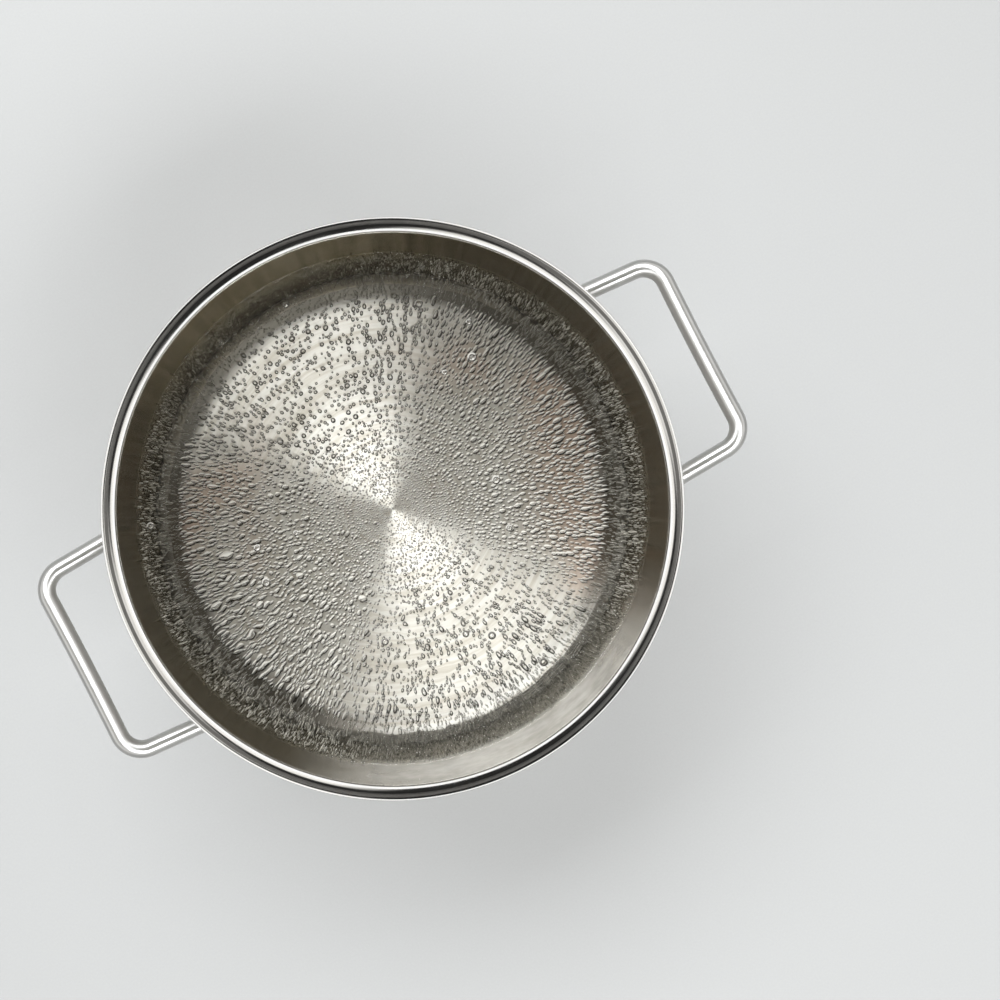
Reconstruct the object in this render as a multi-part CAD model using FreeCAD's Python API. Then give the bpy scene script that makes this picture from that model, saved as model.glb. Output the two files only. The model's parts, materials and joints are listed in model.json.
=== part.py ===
"""Two-handled cooking pot, 24 cm nominal, in stainless steel, open at the top.

The deep-drawn shell has a flared pouring rim.  Under its flat floor an aluminium disc
spreads the heat, closed in by a stamped steel cap on which the pot stands.  Each side
handle is one bent round rod.  Its two ends are welded to small plates, and the plates
are spot-welded to the outside of the wall.

Millimetres.  The origin is the centre of the resting face, +Z is up, and the handles
point along +X and -X.
"""

import FreeCAD, Part
import math
import os

V = FreeCAD.Vector
ORIGIN = V(0, 0, 0)
UP = V(0, 0, 1)

# Driving dimensions: the shell
INNER_RADIUS = 120.0  # nominal size: a 24 cm lid drops inside this wall
INNER_DEPTH = 140.0  # floor to the top of the rim
SHEET = 0.8  # thickness of the drawn sheet
FLOOR_CORNER_RADIUS = 12.0  # inside, between floor and wall
TURN_OUT_RADIUS = 2.0  # bend where the wall turns outwards, on the sheet's inner face
TURN_OUT = 48.0  # degrees
FLARE_RADIUS = 7.0  # slower bend of the pouring rim
FLARE_TURN = 24.0  # degrees
LIP_RADIUS = 4.8  # bend that brings the rim level, at its highest
CURL_RADIUS = 2.6  # last bend, which turns the edge down
CURL_TURN = 40.0  # degrees

# Driving dimensions: the encapsulated base
CAP_RADIUS = 107.0
CAP_SHEET = 0.6
CAP_CORNER_RADIUS = 2.6  # outside, at the edge of the resting face
SPREADER_THICKNESS = 5.0
SPREADER_SIDE_GAP = 0.15  # around the disc, inside the cap's wall
SPREADER_CHAMFER = 2.3  # lets the disc sit in the cap's rounded corner
RECESS_RADIUS = 34.0  # stamped hollow in the middle of the resting face
RECESS_DEPTH = 0.35
STAMPED_RINGS = (46.0, 88.0)  # mean radii of two shallow grooves around it
RING_WIDTH = 1.6
RING_DEPTH = 0.3

# Driving dimensions: the handles
ROD_DIAMETER = 8.0
HANDLE_REACH = 154.4  # pot axis to the middle of the grip bar
HANDLE_SPREAD = 95.2  # between the axes of a rod's two ends, at the plates
HANDLE_TAPER = 4.5  # degrees that each leg leans inwards on its way out
HANDLE_TILT = 18.0  # degrees that the handle rises on its way out
HANDLE_BELOW_RIM = 32.0  # top of the rim to the rod's axis at the plates
HANDLE_BEND_RADIUS = 11.0  # on the rod's axis
GRIP_BOW = 1.0  # degrees at each end: the grip bar bows a little towards the pot

# Driving dimensions: the handle plates and welds
PLATE_THICKNESS = 1.5
PLATE_WIDTH = 23.0
PLATE_HEIGHT = 30.0
PLATE_CORNER = 5.0
PLATE_EDGE_ROUND = 0.5
SPOT_ACROSS = 15.0  # between the spot-weld marks, side to side
SPOT_UP = 21.6  # between the spot-weld marks, bottom to top
SPOT_RADIUS = 1.7
SPOT_DEPTH = 0.25
WELD_SIZE = 1.6  # how far a bead stands out along the rod and along the plate
WELD_ROUND = 1.2  # of its shoulder

# Worked out
ROD_RADIUS = ROD_DIAMETER / 2
FLOOR_TOP = CAP_SHEET + SPREADER_THICKNESS + SHEET
LIP_TURN = 90.0 - TURN_OUT - FLARE_TURN
FLARE_RISE = (
    LIP_RADIUS
    + (TURN_OUT_RADIUS - FLARE_RADIUS) * math.sin(math.radians(TURN_OUT))
    + (FLARE_RADIUS - LIP_RADIUS) * math.sin(math.radians(TURN_OUT + FLARE_TURN))
)
RIM_TOP = FLOOR_TOP + INNER_DEPTH
WALL_TOP = RIM_TOP - FLARE_RISE  # where the straight wall ends and the flare starts
WALL_OUTSIDE = INNER_RADIUS + SHEET
PLATE_OUTSIDE = WALL_OUTSIDE + PLATE_THICKNESS
ROD_END_HEIGHT = RIM_TOP - HANDLE_BELOW_RIM
PLATE_ANGLE = math.degrees(math.asin(HANDLE_SPREAD / 2 / PLATE_OUTSIDE))
ROD_END_X = math.sqrt(PLATE_OUTSIDE**2 - (HANDLE_SPREAD / 2) ** 2)
TRIM_LENGTH = 8.0  # extra rod inside the plate, cut off again
TALL = 400.0  # taller than anything here
SIDES = {"right": 0.0, "left": 180.0}  # degrees about +Z
ENDS = {"front": -1, "rear": 1}  # towards -Y and +Y on the right handle


def trace(start, heading, steps, offset=0.0):
    """Edges of a path in a plane, walked from start.

    heading is degrees from the first axis.  A step is ("line", length) or
    ("arc", radius, turn), and a positive turn goes left.  With an offset, the walk runs
    parallel to the path, that far to its right.  Returns the edges and the last point.
    """
    a = math.radians(heading)
    x = start[0] + offset * math.sin(a)
    y = start[1] - offset * math.cos(a)
    edges = []
    for step in steps:
        if step[0] == "line":
            x2 = x + step[1] * math.cos(a)
            y2 = y + step[1] * math.sin(a)
            edges.append(Part.makeLine(V(x, y, 0), V(x2, y2, 0)))
        else:
            side = math.copysign(1.0, step[2])
            radius = step[1] + side * offset
            turn = math.radians(step[2])
            cx = x - side * radius * math.sin(a)
            cy = y + side * radius * math.cos(a)

            def on_arc(angle):
                return V(
                    cx + side * radius * math.sin(angle),
                    cy - side * radius * math.cos(angle),
                    0,
                )

            end = on_arc(a + turn)
            edges.append(Part.Arc(V(x, y, 0), on_arc(a + turn / 2), end).toShape())
            a += turn
            x2, y2 = end.x, end.y
        x, y = x2, y2
    return edges, V(x, y, 0)


def upright(shape):
    """Turns a shape drawn in XY so that it stands in XZ."""
    return shape.rotated(ORIGIN, V(1, 0, 0), 90)


def turned(edges):
    """A solid of revolution about Z, from the closed outline of half its section."""
    outline = upright(Part.Wire(Part.__sortEdges__(edges)))
    return Part.Face(outline).revolve(ORIGIN, UP, 360)


def turned_polygon(points):
    """A solid of revolution about Z, from (radius, height) corners."""
    corners = [V(r, z, 0) for r, z in points]
    return turned([Part.makeLine(a, b) for a, b in zip(corners, corners[1:] + corners[:1])])


def cylinder(radius, height, bottom=0.0):
    return Part.makeCylinder(radius, height, V(0, 0, bottom), UP)


# Shell


def pot_shell():
    """One sheet: flat floor, round corner, straight wall, flared rim with a curled edge."""
    flat = INNER_RADIUS - FLOOR_CORNER_RADIUS
    wall = WALL_TOP - FLOOR_TOP - FLOOR_CORNER_RADIUS
    steps = [
        ("line", flat),
        ("arc", FLOOR_CORNER_RADIUS, 90.0),
        ("line", wall),
        ("arc", TURN_OUT_RADIUS, -TURN_OUT),
        ("arc", FLARE_RADIUS, -FLARE_TURN),
        ("arc", LIP_RADIUS, -LIP_TURN),
        ("arc", CURL_RADIUS, -CURL_TURN),
    ]
    inside, inside_end = trace((0.0, FLOOR_TOP), 0.0, steps)
    outside, outside_end = trace((0.0, FLOOR_TOP), 0.0, steps, offset=SHEET)
    last = math.radians(-CURL_TURN)
    middle = (inside_end + outside_end) * 0.5
    tip = middle + V(math.cos(last), math.sin(last), 0) * (SHEET / 2)
    rounded_edge = Part.Arc(inside_end, tip, outside_end).toShape()
    on_axis = Part.makeLine(V(0, FLOOR_TOP, 0), V(0, FLOOR_TOP - SHEET, 0))
    return turned(inside + outside + [rounded_edge, on_axis])


# Base


def base_cap():
    """Shallow stamped dish that closes in the disc, with a hollow and two rings."""
    wall = CAP_SHEET + SPREADER_THICKNESS - CAP_CORNER_RADIUS
    steps = [
        ("line", CAP_RADIUS - CAP_CORNER_RADIUS),
        ("arc", CAP_CORNER_RADIUS, 90.0),
        ("line", wall),
    ]
    outside, outside_end = trace((0.0, 0.0), 0.0, steps)
    inside, inside_end = trace((0.0, 0.0), 0.0, steps, offset=-CAP_SHEET)
    edge = Part.makeLine(outside_end, inside_end)
    on_axis = Part.makeLine(V(0, 0, 0), V(0, CAP_SHEET, 0))
    cap = turned(outside + inside + [edge, on_axis])
    cap = cap.cut(cylinder(RECESS_RADIUS, RECESS_DEPTH + 1.0, bottom=-1.0))
    for radius in STAMPED_RINGS:
        groove = turned_polygon(
            [
                (radius - RING_WIDTH / 2, 0.0),
                (radius, RING_DEPTH),
                (radius + RING_WIDTH / 2, 0.0),
                (radius, -1.0),
            ]
        )
        cap = cap.cut(groove)
    return cap


def heat_spreader():
    """Aluminium disc between the shell's floor and the cap."""
    radius = CAP_RADIUS - CAP_SHEET - SPREADER_SIDE_GAP
    bottom = CAP_SHEET
    top = CAP_SHEET + SPREADER_THICKNESS
    return turned_polygon(
        [
            (0.0, bottom),
            (radius - SPREADER_CHAMFER, bottom),
            (radius, bottom + SPREADER_CHAMFER),
            (radius, top),
            (0.0, top),
        ]
    )


# Handles


def leg_length():
    """Straight part of a leg, so that the grip bar ends up at its reach."""
    along = (HANDLE_REACH - ROD_END_X) / math.cos(math.radians(HANDLE_TILT))
    start = math.sin(math.radians(HANDLE_TAPER))
    end = math.sin(math.radians(90.0 + GRIP_BOW))
    return (along - HANDLE_BEND_RADIUS * (end - start)) / math.cos(math.radians(HANDLE_TAPER))


def grip_chord():
    """Straight distance between the two bends of a handle."""
    start = math.cos(math.radians(HANDLE_TAPER))
    end = math.cos(math.radians(90.0 + GRIP_BOW))
    leg = leg_length() * math.sin(math.radians(HANDLE_TAPER))
    return HANDLE_SPREAD - 2 * (leg + HANDLE_BEND_RADIUS * (start - end))


def handle_rod():
    """The right handle's rod, cut to lie flush on the outside of its two plates."""
    grip_radius = grip_chord() / 2 / math.sin(math.radians(GRIP_BOW))
    leg = leg_length() + TRIM_LENGTH
    bend = ("arc", HANDLE_BEND_RADIUS, 90.0 - HANDLE_TAPER + GRIP_BOW)
    steps = [
        ("line", leg),
        bend,
        ("arc", grip_radius, -2 * GRIP_BOW),
        bend,
        ("line", leg),
    ]
    taper = math.radians(HANDLE_TAPER)
    first = (
        -TRIM_LENGTH * math.cos(taper),
        -HANDLE_SPREAD / 2 - TRIM_LENGTH * math.sin(taper),
    )
    edges, _ = trace(first, HANDLE_TAPER, steps)
    path = Part.Wire(edges)
    direction = V(math.cos(taper), math.sin(taper), 0)
    section = Part.Wire(Part.makeCircle(ROD_RADIUS, V(first[0], first[1], 0), direction))
    rod = path.makePipeShell([section], True, True)
    rod = rod.rotated(ORIGIN, V(0, 1, 0), -HANDLE_TILT)
    rod = rod.translated(V(ROD_END_X, 0, ROD_END_HEIGHT))
    return rod.cut(cylinder(PLATE_OUTSIDE, TALL))


def rounded_rectangle(width, height, corner):
    """Face in YZ, centred on the X axis."""
    steps = []
    for side in (height, width, height, width):
        steps.append(("line", side - 2 * corner))
        steps.append(("arc", corner, 90.0))
    edges, _ = trace((width / 2, corner - height / 2), 90.0, steps)
    face = Part.Face(Part.Wire(edges))
    return upright(face).rotated(ORIGIN, UP, 90)


def handle_plate():
    """Plate that follows the wall, with four spot-weld marks, at the middle of +X."""
    blank = rounded_rectangle(PLATE_WIDTH, PLATE_HEIGHT, PLATE_CORNER)
    blank = blank.extrude(V(PLATE_OUTSIDE + 10.0, 0, 0))
    blank = blank.translated(V(0, 0, ROD_END_HEIGHT))
    sleeve = cylinder(PLATE_OUTSIDE, TALL).cut(cylinder(WALL_OUTSIDE, TALL))
    plate = blank.common(sleeve)
    outer = [e for e in plate.Edges if on_cylinder(e, PLATE_OUTSIDE)]
    plate = plate.makeFillet(PLATE_EDGE_ROUND, outer)
    for across in (-SPOT_ACROSS / 2, SPOT_ACROSS / 2):
        for up in (-SPOT_UP / 2, SPOT_UP / 2):
            plate = plate.cut(spot_mark(across, ROD_END_HEIGHT + up))
    return plate


def on_cylinder(edge, radius):
    """Whether an edge lies on the upright cylinder of that radius about Z."""
    points = edge.discretize(5)
    return all(abs(math.hypot(p.x, p.y) - radius) < 1e-4 for p in points)


def spot_mark(across, height):
    """Ball whose cap is the shallow dimple that a welding electrode leaves."""
    ball = (SPOT_RADIUS**2 + SPOT_DEPTH**2) / (2 * SPOT_DEPTH)
    angle = math.asin(across / PLATE_OUTSIDE)
    reach = PLATE_OUTSIDE - SPOT_DEPTH + ball
    return Part.makeSphere(ball, V(reach * math.cos(angle), reach * math.sin(angle), height))


def leg_axis(side):
    """Point and direction of the rod's axis where it meets its plate."""
    taper = math.radians(HANDLE_TAPER)
    tilt = math.radians(HANDLE_TILT)
    forward = math.cos(taper)
    direction = V(forward * math.cos(tilt), -side * math.sin(taper), forward * math.sin(tilt))
    return V(ROD_END_X, side * HANDLE_SPREAD / 2, ROD_END_HEIGHT), direction


def weld_bead(rod, side):
    """Rounded bead around a rod's end, in the angle between the rod and its plate."""
    point, direction = leg_axis(side)
    start = point - direction * TRIM_LENGTH
    collar = Part.makeCylinder(ROD_RADIUS + WELD_SIZE, 3 * TRIM_LENGTH, start, direction)
    layer = cylinder(PLATE_OUTSIDE + WELD_SIZE, TALL).cut(cylinder(PLATE_OUTSIDE, TALL))
    bead = collar.common(layer)
    shoulder = [e for e in bead.Edges if on_cylinder(e, PLATE_OUTSIDE + WELD_SIZE)]
    return bead.makeFillet(WELD_ROUND, shoulder).cut(rod)


def placed(shape, degrees):
    """A shape turned about the pot's axis."""
    return shape.rotated(ORIGIN, UP, degrees)


def save(shape, name):
    """Writes one sub-part, and refuses an invalid or empty one."""
    solids = shape.Solids
    if not shape.isValid() or not solids or shape.Volume <= 0:
        raise RuntimeError(f"{name} is not a valid solid")
    kept = solids[0] if len(solids) == 1 else Part.makeCompound(solids)
    kept.exportStep(f"parts/{name}.step")
    print(f"{name}: {len(solids)} solid, {shape.Volume / 1000:.2f} cm3")


def main():
    os.makedirs("parts", exist_ok=True)
    save(pot_shell(), "pot_shell")
    save(heat_spreader(), "heat_spreader_disc")
    save(base_cap(), "base_cap")
    rod = handle_rod()
    plate = handle_plate()
    beads = {end: weld_bead(rod, side) for end, side in ENDS.items()}
    for side, turn in SIDES.items():
        save(placed(rod, turn), f"handle_rod_{side}")
        for end, sign in ENDS.items():
            save(placed(plate, turn + sign * PLATE_ANGLE), f"handle_plate_{side}_{end}")
            save(placed(beads[end], turn), f"weld_bead_{side}_{end}")


main()
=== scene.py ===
"""Looks of an open steel cooking pot with two bent-rod handles.

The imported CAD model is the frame.  The shell and the base cap are lathed again at a finer
pitch from the same dimensions, the shell as two pieces, body and rim, so that the lamps can
treat them differently.  The handle rods are swept, and the weld beads get their ripples.
The plates and the heat spreader keep their CAD meshes.  The paper, the water and the bubbles
are staged around the pot.  Metres, +Z up, handles along +X and -X, the pot's axis on the
origin.
"""

import json
import math
from functools import cache

import bmesh
import bpy
import numpy as np
from mathutils import Matrix, Vector


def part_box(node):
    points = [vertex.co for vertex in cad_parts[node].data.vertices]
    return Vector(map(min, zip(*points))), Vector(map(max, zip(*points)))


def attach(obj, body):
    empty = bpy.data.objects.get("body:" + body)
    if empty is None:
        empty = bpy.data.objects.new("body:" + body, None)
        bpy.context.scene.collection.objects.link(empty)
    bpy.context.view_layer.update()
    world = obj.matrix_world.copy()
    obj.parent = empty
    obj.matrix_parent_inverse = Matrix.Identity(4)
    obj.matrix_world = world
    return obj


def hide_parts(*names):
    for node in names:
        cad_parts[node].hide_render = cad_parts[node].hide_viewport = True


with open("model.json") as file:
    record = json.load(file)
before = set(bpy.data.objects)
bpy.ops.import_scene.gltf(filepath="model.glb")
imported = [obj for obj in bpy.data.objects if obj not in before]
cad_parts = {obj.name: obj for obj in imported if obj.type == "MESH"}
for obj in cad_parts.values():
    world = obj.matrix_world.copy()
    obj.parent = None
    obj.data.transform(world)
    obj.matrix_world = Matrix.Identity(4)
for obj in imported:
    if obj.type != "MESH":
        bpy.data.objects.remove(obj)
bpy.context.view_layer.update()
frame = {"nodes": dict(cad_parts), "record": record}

MM = 0.001
MOUNTS = {mount["name"]: mount for mount in frame["record"]["mounts"]}
NODES = frame["nodes"]

# Shell
INNER_RADIUS = MOUNTS["mouth"]["dims"]["r_mm"] * MM
RIM_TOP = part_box("pot_shell")[1].z
FLOOR_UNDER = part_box("pot_shell")[0].z
SHEET = 0.8 * MM
FLOOR_TOP = FLOOR_UNDER + SHEET
FLOOR_CORNER = 12.0 * MM
TURN_OUT_RADIUS, TURN_OUT = 2.0 * MM, math.radians(48.0)
FLARE_RADIUS, FLARE_TURN = 7.0 * MM, math.radians(24.0)
LIP_RADIUS, LIP_TURN = 4.8 * MM, math.pi / 2 - TURN_OUT - FLARE_TURN
CURL_RADIUS, CURL_TURN = 2.6 * MM, math.radians(40.0)
FLARE_RISE = (
    LIP_RADIUS
    + (TURN_OUT_RADIUS - FLARE_RADIUS) * math.sin(TURN_OUT)
    + (FLARE_RADIUS - LIP_RADIUS) * math.sin(TURN_OUT + FLARE_TURN)
)
WALL_TOP = RIM_TOP - FLARE_RISE

# Base cap
CAP_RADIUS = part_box("base_cap")[1].x
CAP_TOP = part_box("base_cap")[1].z
CAP_SHEET = 0.6 * MM
CAP_CORNER = 2.6 * MM
RECESS_RADIUS, RECESS_DEPTH, RECESS_SHOULDER = 34.0 * MM, 0.35 * MM, 1.2 * MM
STAMPED_RINGS = (46.0 * MM, 88.0 * MM)
RING_WIDTH, RING_DEPTH = 1.6 * MM, 0.3 * MM

# Handles
ROD_RADIUS = 4.0 * MM
PLATE_OUTSIDE = INNER_RADIUS + SHEET + 1.5 * MM
HANDLE_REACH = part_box("handle_rod_right")[1].x - ROD_RADIUS
HANDLE_SPREAD = 95.2 * MM
TAPER, TILT, GRIP_BOW = math.radians(4.5), math.radians(18.0), math.radians(1.0)
BEND_RADIUS = 11.0 * MM
ROD_END_HEIGHT = RIM_TOP - 32.0 * MM
ROD_END_X = math.sqrt(PLATE_OUTSIDE**2 - (HANDLE_SPREAD / 2) ** 2)
WELD_SIZE = 1.6 * MM
SIDES = {"right": 0.0, "left": math.pi}
ENDS = {"front": -1, "rear": 1}

# How finely things are cut
LATHE_STEPS = 360
ROD_STEPS = 48

# What the rods' vertices carry for their material: the bar's direction, and the way along it
ROD_DIRECTION, ROD_ALONG = "bar_direction", "bar_distance"


# Meshes


def walk(start, heading, steps, offset=0.0):
    """Points along a path of ("line", length, parts) and ("arc", radius, turn, parts).

    Angles are in radians, a positive turn goes left, and an offset shifts the whole path
    to its right.  Returns the points, and for each step the number of its last point.
    """
    x = start[0] + offset * math.sin(heading)
    y = start[1] - offset * math.cos(heading)
    points, ends = [(x, y)], []
    for step in steps:
        parts = step[-1]
        if step[0] == "line":
            for i in range(1, parts + 1):
                far = step[1] * i / parts
                points.append((x + far * math.cos(heading), y + far * math.sin(heading)))
        else:
            side = math.copysign(1.0, step[2])
            radius = step[1] + side * offset
            centre = (x - side * radius * math.sin(heading), y + side * radius * math.cos(heading))
            for i in range(1, parts + 1):
                angle = heading + step[2] * i / parts
                points.append((
                    centre[0] + side * radius * math.sin(angle),
                    centre[1] - side * radius * math.cos(angle),
                ))
            heading += step[2]
        x, y = points[-1]
        ends.append(len(points) - 1)
    return points, ends


def new_piece(name, vertices, faces, zones=None):
    """A smooth mesh object; zones has the number of each face's material."""
    mesh = bpy.data.meshes.new(name)
    mesh.from_pydata([tuple(v) for v in vertices], [], faces)
    mesh.validate()
    mesh.polygons.foreach_set("use_smooth", [True] * len(mesh.polygons))
    if zones is not None:
        mesh.polygons.foreach_set("material_index", zones)
    mesh.update()
    piece = bpy.data.objects.new(name, mesh)
    bpy.context.scene.collection.objects.link(piece)
    return piece


def finished(piece, node):
    """Puts a piece on the pot's one body, in place of the CAD node."""
    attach(piece, "root")
    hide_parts(node)
    return piece


def lathe(name, outline, zones):
    """Turns an outline of (radius, height) points about the pot's axis.

    zones has one number for each stretch between two points: the material of its faces.
    """
    turn = np.linspace(0.0, 2 * math.pi, LATHE_STEPS, endpoint=False)
    vertices, first = [], []
    for radius, height in outline:
        first.append(len(vertices))
        if radius < 1e-9:
            vertices.append((0.0, 0.0, height))
        else:
            vertices += [(radius * math.cos(a), radius * math.sin(a), height) for a in turn]
    faces, numbers = [], []
    for i, zone in enumerate(zones):
        for j in range(LATHE_STEPS):
            k = (j + 1) % LATHE_STEPS
            if outline[i][0] < 1e-9:
                face = (first[i], first[i + 1] + j, first[i + 1] + k)
            elif outline[i + 1][0] < 1e-9:
                face = (first[i] + j, first[i + 1], first[i] + k)
            else:
                face = (first[i] + j, first[i + 1] + j, first[i + 1] + k, first[i] + k)
            faces.append(face)
            numbers.append(zone)
    return new_piece(name, vertices, faces, numbers)


def tube(name, rings):
    """Skins a list of equal rings of points and closes both ends with a fan."""
    count = len(rings[0])
    vertices = [point for ring in rings for point in ring]
    faces = []
    for i in range(len(rings) - 1):
        for j in range(count):
            k = (j + 1) % count
            a, b = i * count, (i + 1) * count
            faces.append((a + j, a + k, b + k, b + j))
    for start, flip in ((0, True), ((len(rings) - 1) * count, False)):
        middle = len(vertices)
        vertices.append(np.mean([vertices[start + j] for j in range(count)], axis=0))
        for j in range(count):
            k = (j + 1) % count
            pair = (start + k, start + j) if flip else (start + j, start + k)
            faces.append((middle, *pair))
    return new_piece(name, vertices, faces)


def turned_about_axis(piece, angle):
    """The same piece, turned in its mesh."""
    piece.data.transform(Matrix.Rotation(angle, 4, "Z"))
    return piece


def note(piece, name, kind, values):
    """Stores a number or a vector for each vertex, for the material to read."""
    attribute = piece.data.attributes.new(name, kind, "POINT")
    socket = "vector" if kind == "FLOAT_VECTOR" else "value"
    attribute.data.foreach_set(socket, np.asarray(values, dtype=np.float32).ravel())


# Shell

ZONE_FLOOR, ZONE_WALL, ZONE_RIM, ZONE_LIP, ZONE_OUTSIDE = range(5)


def pot_shell():
    """Flat floor, round corner and straight wall, then the flared rim with its curled edge.

    The floor's finish runs a little way up the corner.  Short straight parts beside the
    corner keep its shading off the floor and the wall.  Returns the rim.
    """
    support = 0.4 * MM
    floor_turn, wall_turn = math.radians(40.0), math.radians(50.0)
    flat = INNER_RADIUS - FLOOR_CORNER
    wall = WALL_TOP - FLOOR_TOP - FLOOR_CORNER
    steps = [
        ("line", flat - support, 26),
        ("line", support, 1),
        ("arc", FLOOR_CORNER, floor_turn, 12),
        ("arc", FLOOR_CORNER, wall_turn, 16),
        ("line", support, 1),
        ("line", wall - 2 * support, 24),
        ("line", support, 1),
        ("arc", TURN_OUT_RADIUS, -TURN_OUT, 14),
        ("arc", FLARE_RADIUS, -FLARE_TURN, 10),
        ("arc", LIP_RADIUS, -LIP_TURN, 8),
        ("arc", CURL_RADIUS, -CURL_TURN, 12),
    ]
    step_zones = [ZONE_FLOOR] * 3 + [ZONE_WALL] * 4 + [ZONE_RIM, ZONE_RIM, ZONE_LIP, ZONE_RIM]
    inside, ends = walk((0.0, FLOOR_TOP), 0.0, steps)
    outside, _ = walk((0.0, FLOOR_TOP), 0.0, steps, offset=SHEET)
    zones = []
    for end, zone in zip(ends, step_zones):
        zones += [zone] * (end - len(zones))
    top = zones.index(ZONE_RIM)
    materials = [make() for make in (floor_steel, wall_steel, rim_steel, lip_steel, outside_steel)]

    outline = inside[:top + 1] + outside[top::-1]
    body = lathe("spun_shell", outline, zones[:top] + [ZONE_OUTSIDE] * (top + 1))
    edge_parts = 10
    edge, _ = walk(inside[-1], -CURL_TURN, [("arc", SHEET / 2, -math.pi, edge_parts)])
    outline = inside[top:] + edge[1:-1] + outside[:top - 1:-1] + inside[top:top + 1]
    under = [ZONE_OUTSIDE] * (len(outside) - top)
    rim = lathe("spun_rim", outline, zones[top:] + [ZONE_RIM] * edge_parts + under)
    for piece in (body, rim):
        for material in materials:
            piece.data.materials.append(material)
        finished(piece, "pot_shell")
    return rim


# Base


def soft_step(radius, centre, width):
    """0 inside, 1 outside, with the soft shoulder that stamping leaves."""
    t = min(max((radius - centre) / width + 0.5, 0.0), 1.0)
    return t * t * (3 - 2 * t)


def under_height(radius):
    """Height of the resting face's underside: the stamped hollow and the two rings."""
    height = RECESS_DEPTH * (1 - soft_step(radius, RECESS_RADIUS, RECESS_SHOULDER))
    for ring in STAMPED_RINGS:
        away = abs(radius - ring) / (RING_WIDTH / 2)
        if away < 1:
            height += RING_DEPTH * (0.5 + 0.5 * math.cos(math.pi * away))
    return height


def base_cap():
    """Stamped dish that closes in the heat spreader, with its spun underside."""
    flat = CAP_RADIUS - CAP_CORNER
    wall = CAP_TOP - CAP_CORNER
    stamped = [(RECESS_RADIUS, 0.8 * MM)] + [(ring, RING_WIDTH / 2) for ring in STAMPED_RINGS]
    radii = {flat * i / 24 for i in range(25)}
    for middle, half in stamped:
        radii |= {middle + half * i / 8 for i in range(-9, 10)}
    under = [(radius, under_height(radius)) for radius in sorted(radii)]
    side, _ = walk((flat, 0.0), 0.0, [
        ("arc", CAP_CORNER, math.radians(90.0), 18), ("line", wall, 4),
    ])
    inner, _ = walk((CAP_RADIUS - CAP_SHEET, CAP_TOP), math.radians(-90.0), [
        ("line", wall, 4), ("arc", CAP_CORNER - CAP_SHEET, math.radians(-90.0), 10), ("line", flat, 6),
    ])
    rolled = [(CAP_RADIUS - CAP_SHEET * s, CAP_TOP) for s in (0.15, 0.5, 0.85)]
    inner[-1] = (0.0, inner[-1][1])
    outline = under + side[1:] + rolled + inner
    cap = lathe("spun_base_cap", outline, [0] * (len(outline) - 1))
    cap.data.materials.append(cap_steel())
    return finished(cap, "base_cap")


# Handles


def leg_length():
    """Length of the straight part of a leg, along the bar."""
    along = (HANDLE_REACH - ROD_END_X) / math.cos(TILT)
    return (along - BEND_RADIUS * (math.cos(GRIP_BOW) - math.sin(TAPER))) / math.cos(TAPER)


def handle_steps():
    """The bar's middle line in its own plane, with a short part at each foot."""
    leg = leg_length()
    chord = HANDLE_SPREAD - 2 * (
        leg * math.sin(TAPER) + BEND_RADIUS * (math.cos(TAPER) + math.sin(GRIP_BOW))
    )
    bend = ("arc", BEND_RADIUS, math.pi / 2 - TAPER + GRIP_BOW, 26)
    grip = ("arc", chord / 2 / math.sin(GRIP_BOW), -2 * GRIP_BOW, 30)
    first_part = 3.2 * MM
    return [
        ("line", first_part, 1), ("line", leg - first_part, 12), bend, grip, bend,
        ("line", leg - first_part, 12), ("line", first_part, 1),
    ]


def onto_plate(point, direction):
    """The place where a line from point along direction meets the plates' outside."""
    a = direction[0] ** 2 + direction[1] ** 2
    b = point[0] * direction[0] + point[1] * direction[1]
    c = point[0] ** 2 + point[1] ** 2 - PLATE_OUTSIDE**2
    return point + direction * ((math.sqrt(b * b - a * c) - b) / a)


def handle_rod(side):
    """One round bar: leg, bend, slightly bowed grip, bend, leg, cut flush at the plates."""
    path, _ = walk((0.0, -HANDLE_SPREAD / 2), TAPER, handle_steps())
    forward = np.array((math.cos(TILT), 0.0, math.sin(TILT)))
    across = np.array((0.0, 1.0, 0.0))
    normal = np.cross(forward, across)
    start = np.array((ROD_END_X, 0.0, ROD_END_HEIGHT))
    points = [start + x * forward + y * across for x, y in path]
    rings, directions, distances = [], [], [0.0]
    for i, point in enumerate(points):
        ahead = points[min(i + 1, len(points) - 1)] - points[max(i - 1, 0)]
        ahead /= np.linalg.norm(ahead)
        directions.append(ahead)
        distances.append(distances[-1] + math.dist(point, points[max(i - 1, 0)]))
        sideways = np.cross(normal, ahead)
        ring = []
        for j in range(ROD_STEPS):
            a = 2 * math.pi * j / ROD_STEPS
            ring.append(point + ROD_RADIUS * (math.cos(a) * sideways + math.sin(a) * normal))
        rings.append(ring)
    leg = np.cross(normal, -np.cross(normal, points[1] - points[0]))
    leg /= np.linalg.norm(leg)
    rings[0] = [onto_plate(p, leg) for p in rings[0]]
    leg = leg * (1, -1, 1)
    rings[-1] = [onto_plate(p, leg) for p in rings[-1]]
    rod = turned_about_axis(tube(f"bent_rod_{side}", rings), SIDES[side])
    sign = math.cos(SIDES[side])
    directions = np.repeat(directions, ROD_STEPS, axis=0) * (sign, sign, 1.0)
    note(rod, ROD_DIRECTION, "FLOAT_VECTOR", [*directions, directions[0], directions[-1]])
    distances = np.repeat(distances[1:], ROD_STEPS)
    note(rod, ROD_ALONG, "FLOAT", [*distances, distances[0], distances[-1]])
    rod.data.materials.append(rod_steel())
    return finished(rod, f"handle_rod_{side}")


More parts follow.
